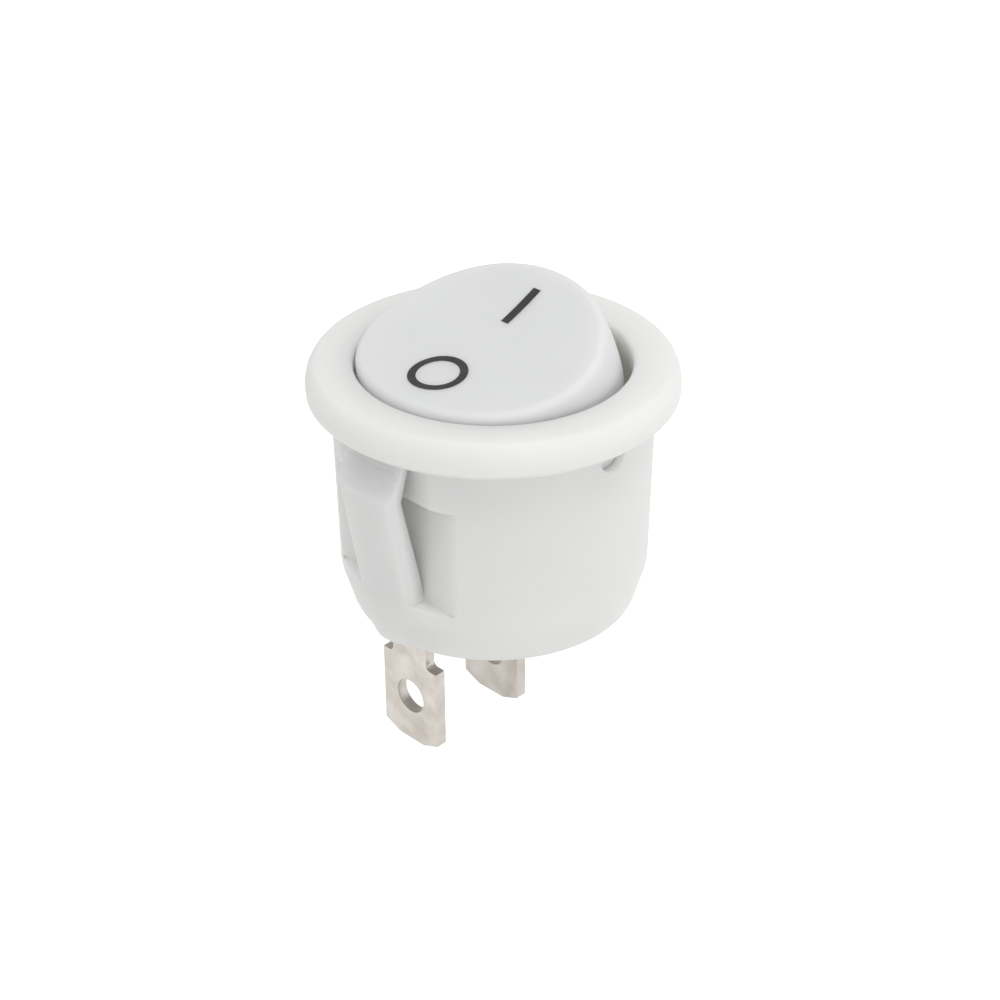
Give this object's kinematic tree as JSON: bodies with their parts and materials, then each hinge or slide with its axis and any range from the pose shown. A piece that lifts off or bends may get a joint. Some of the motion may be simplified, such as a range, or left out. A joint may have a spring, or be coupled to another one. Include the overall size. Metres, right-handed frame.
{
  "type": "panel rocker switch",
  "caption": "Round snap-in panel rocker switch with a dished rocker, a bezel, two spring arms and two blade terminals behind the panel.",
  "frame": {"origin": "on the axis of the round body, in the plane of the panel face that the bezel seats on", "axes": "+Z out of the panel along the body's axis, +X from the O end of the rocker to the I end, +Y along the rocker's pivot"},
  "size_m": [0.023, 0.023, 0.0288],
  "materials": {
    "housing_plastic": "fine satin, white nylon",
    "rocker_plastic": "satin, white",
    "plunger_plastic": "natural acetal",
    "spring_steel": "drawn wire",
    "lever_copper": "bright rolled copper alloy",
    "contact_silver": "silver alloy",
    "terminal_metal": "plated brass, stamped"
  },
  "bodies": {
    "body": {"housing": "housing_plastic", "common_terminal": "terminal_metal", "load_terminal": "terminal_metal", "fixed_contact": "contact_silver"},
    "rocker": {"rocker": "rocker_plastic", "plunger_spring": "spring_steel"},
    "plunger": {"plunger": "plunger_plastic"},
    "lever": {"contact_lever": "lever_copper", "moving_contact": "contact_silver"}
  },
  "joints": [
    {"name": "rocker_tilt", "type": "hinge", "parent": "body", "child": "rocker", "pos_m": [0, 0, -0.0008], "axis": [0, 1, 0], "range_deg": [0, 30]},
    {"name": "plunger_slide", "type": "slide", "parent": "rocker", "child": "plunger", "axis": [-0.2588, 0, 0.9659], "range_m": [0, 0.001], "stiffness_N_per_m": 250, "springref_m": -0.002, "deforming": ["plunger_spring"]},
    {"name": "lever_tilt", "type": "hinge", "parent": "body", "child": "lever", "pos_m": [0, 0, -0.00919], "axis": [0, 1, 0], "range_deg": [-16, 0]}
  ],
  "couplings": [
    {"joint": "lever_tilt", "follows": "rocker_tilt", "ratio": -0.53333}
  ]
}
